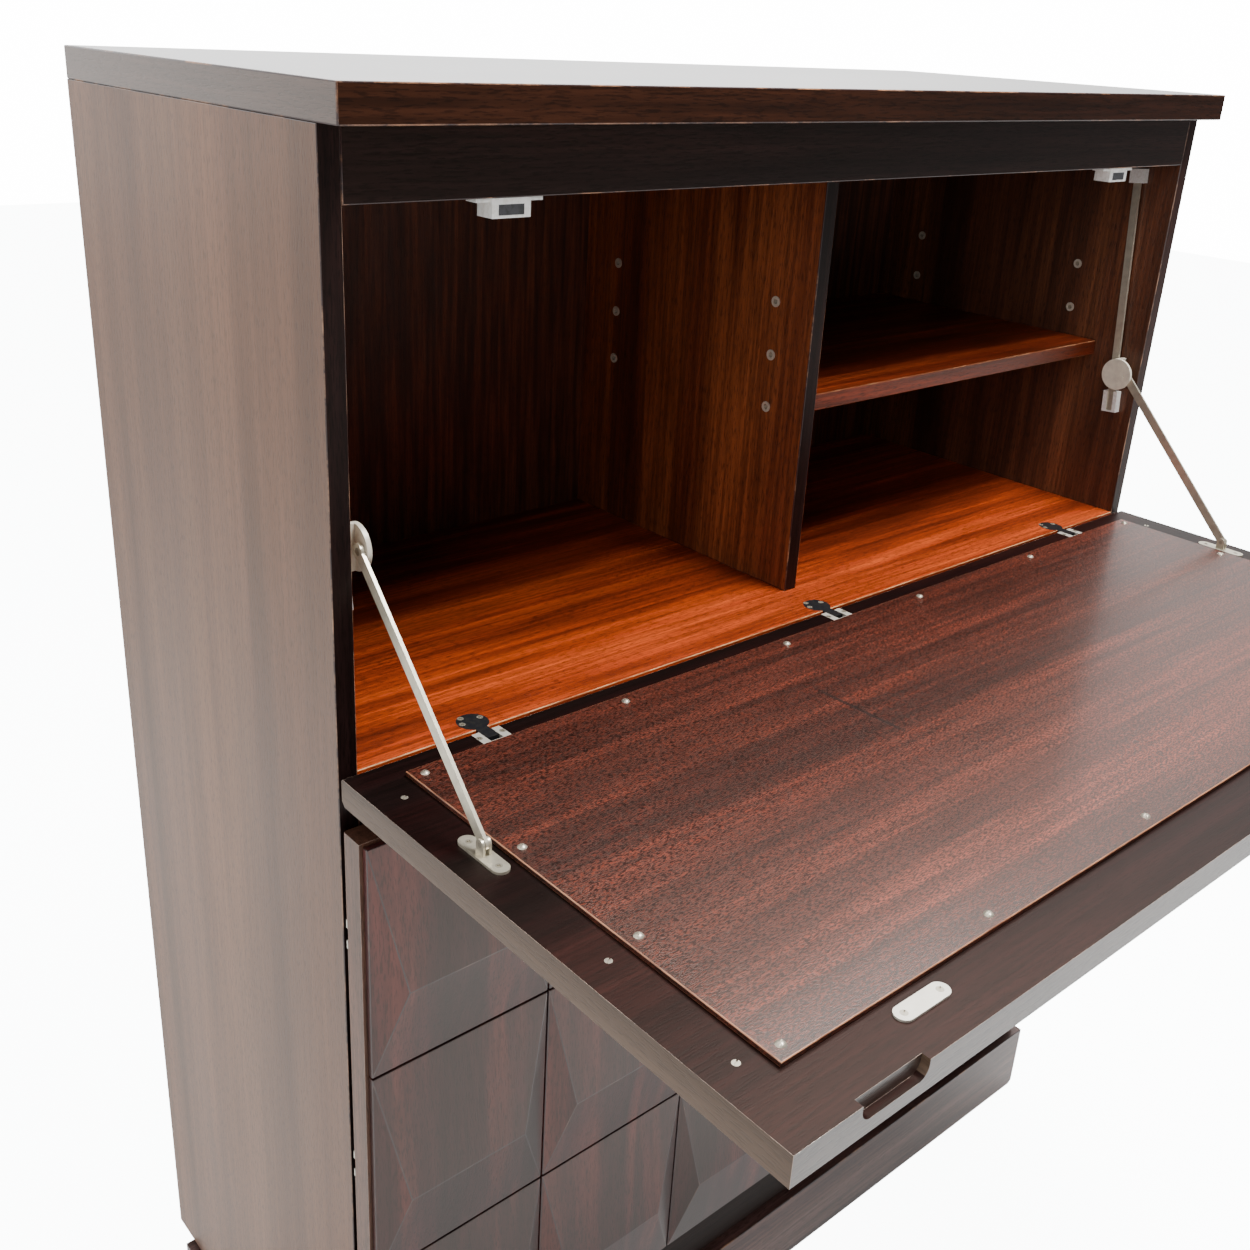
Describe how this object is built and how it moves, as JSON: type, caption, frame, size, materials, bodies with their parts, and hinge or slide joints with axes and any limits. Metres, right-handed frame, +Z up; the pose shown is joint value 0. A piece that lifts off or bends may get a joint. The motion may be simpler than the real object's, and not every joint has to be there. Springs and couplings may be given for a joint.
{
  "type": "secretary desk",
  "caption": "Secretary desk: cabinet on a plinth with a drop-down writing flap on sliding stays, pigeonhole bays with a shelf, and two facet-panelled doors below.",
  "frame": {"origin": "middle of the plinth's footprint on the floor, on the underside of the middle bearer", "axes": "+X to the right seen from the front, +Y to the back, +Z up; flap drawn open and doors closed"},
  "size_m": [1.064, 0.835, 1.341],
  "materials": {
    "cabinet_wood": "dark mahogany stain, satin lacquer, worn arrises",
    "inner_wood": "dark red-brown veneer, satin",
    "floor_wood": "orange-brown veneer, satin",
    "front_wood": "dark mahogany stain, satin",
    "panel_wood": "red-brown veneer, satin",
    "facet_wood": "dark mahogany stain, semi-gloss",
    "black_batten": "black paint",
    "sleeve_metal": "satin",
    "white_plastic": "white, matt",
    "magnet": "dark grey",
    "black_metal": "black, satin",
    "screw_metal": "nickel, satin",
    "plate_metal": "nickel, satin",
    "stay_metal": "nickel, satin"
  },
  "bodies": {
    "cabinet": {"top_panel": "cabinet_wood", "side_left": "cabinet_wood", "side_right": "cabinet_wood", "back_panel": "inner_wood", "fascia_rail": "cabinet_wood", "middle_rail": "cabinet_wood", "bottom_rail": "cabinet_wood", "bottom_panel": "inner_wood", "compartment_floor": "floor_wood", "cupboard_floor": "inner_wood", "upper_divider": "inner_wood", "upper_shelf": "floor_wood", "lower_divider": "inner_wood", "lower_shelf_left": "inner_wood", "lower_shelf_right": "inner_wood", "shelf_sleeves": "sleeve_metal", "shelf_pins": "sleeve_metal", "base_front": "cabinet_wood", "base_rear": "cabinet_wood", "base_end_left": "cabinet_wood", "base_end_right": "cabinet_wood", "base_brace": "cabinet_wood", "base_spacers": "black_batten", "magnetic_catches": "white_plastic", "catch_magnets": "magnet", "hinge_plates": "black_metal", "hinge_plate_screws": "screw_metal", "stay_rail_left": "stay_metal", "stay_rail_right": "stay_metal", "stay_sockets": "white_plastic"},
    "flap": {"flap_board": "front_wood", "flap_panel": "panel_wood", "flap_facets": "facet_wood", "panel_screws": "screw_metal", "frame_screws": "screw_metal", "flap_strikes": "plate_metal", "flap_hinge_leaves": "plate_metal", "flap_hinge_pins": "screw_metal", "flap_fitting_screws": "screw_metal", "stay_feet": "stay_metal", "stay_foot_pins": "screw_metal"},
    "door_left": {"door_left_board": "front_wood", "door_left_facets": "facet_wood", "door_left_leaves": "plate_metal", "door_left_pins": "screw_metal", "door_left_strike": "plate_metal", "door_left_screws": "screw_metal"},
    "door_right": {"door_right_board": "front_wood", "door_right_facets": "facet_wood", "door_right_leaves": "plate_metal", "door_right_pins": "screw_metal", "door_right_strike": "plate_metal", "door_right_screws": "screw_metal"},
    "stay_arm_left": {"stay_arm_left": "stay_metal"},
    "stay_slider_left": {"stay_brake_left": "stay_metal", "brake_knob_left": "stay_metal"},
    "stay_arm_right": {"stay_arm_right": "stay_metal"},
    "stay_slider_right": {"stay_brake_right": "stay_metal", "brake_knob_right": "stay_metal"}
  },
  "joints": [
    {"name": "flap_hinge", "type": "hinge", "parent": "cabinet", "child": "flap", "pos_m": [0, -0.19, 0.865], "axis": [-1, 0, 0], "range_deg": [0, 90]},
    {"name": "door_left_hinge", "type": "hinge", "parent": "cabinet", "child": "door_left", "pos_m": [-0.517, -0.19, 0.512], "axis": [0, 0, -1], "range_deg": [0, 90]},
    {"name": "door_right_hinge", "type": "hinge", "parent": "cabinet", "child": "door_right", "pos_m": [0.517, -0.19, 0.512], "axis": [0, 0, 1], "range_deg": [0, 90]},
    {"name": "stay_arm_left_pivot", "type": "hinge", "parent": "flap", "child": "stay_arm_left", "pos_m": [-0.4979, -0.3195, 0.8825], "axis": [1, 0, 0], "range_deg": [0, 130]},
    {"name": "stay_brake_left_slide", "type": "slide", "parent": "cabinet", "child": "stay_slider_left", "axis": [0, 0.075, 0.9972], "range_m": [0, 0.173]},
    {"name": "stay_arm_right_pivot", "type": "hinge", "parent": "flap", "child": "stay_arm_right", "pos_m": [0.4979, -0.3195, 0.8825], "axis": [1, 0, 0], "range_deg": [0, 130]},
    {"name": "stay_brake_right_slide", "type": "slide", "parent": "cabinet", "child": "stay_slider_right", "axis": [0, 0.075, 0.9972], "range_m": [0, 0.173]}
  ],
  "couplings": [
    {"joint": "stay_arm_left_pivot", "follows": "flap_hinge", "ratio": 1.4433},
    {"joint": "stay_brake_left_slide", "follows": "flap_hinge", "m_per_rad": 0.11},
    {"joint": "stay_arm_right_pivot", "follows": "flap_hinge", "ratio": 1.4433},
    {"joint": "stay_brake_right_slide", "follows": "flap_hinge", "m_per_rad": 0.11}
  ]
}
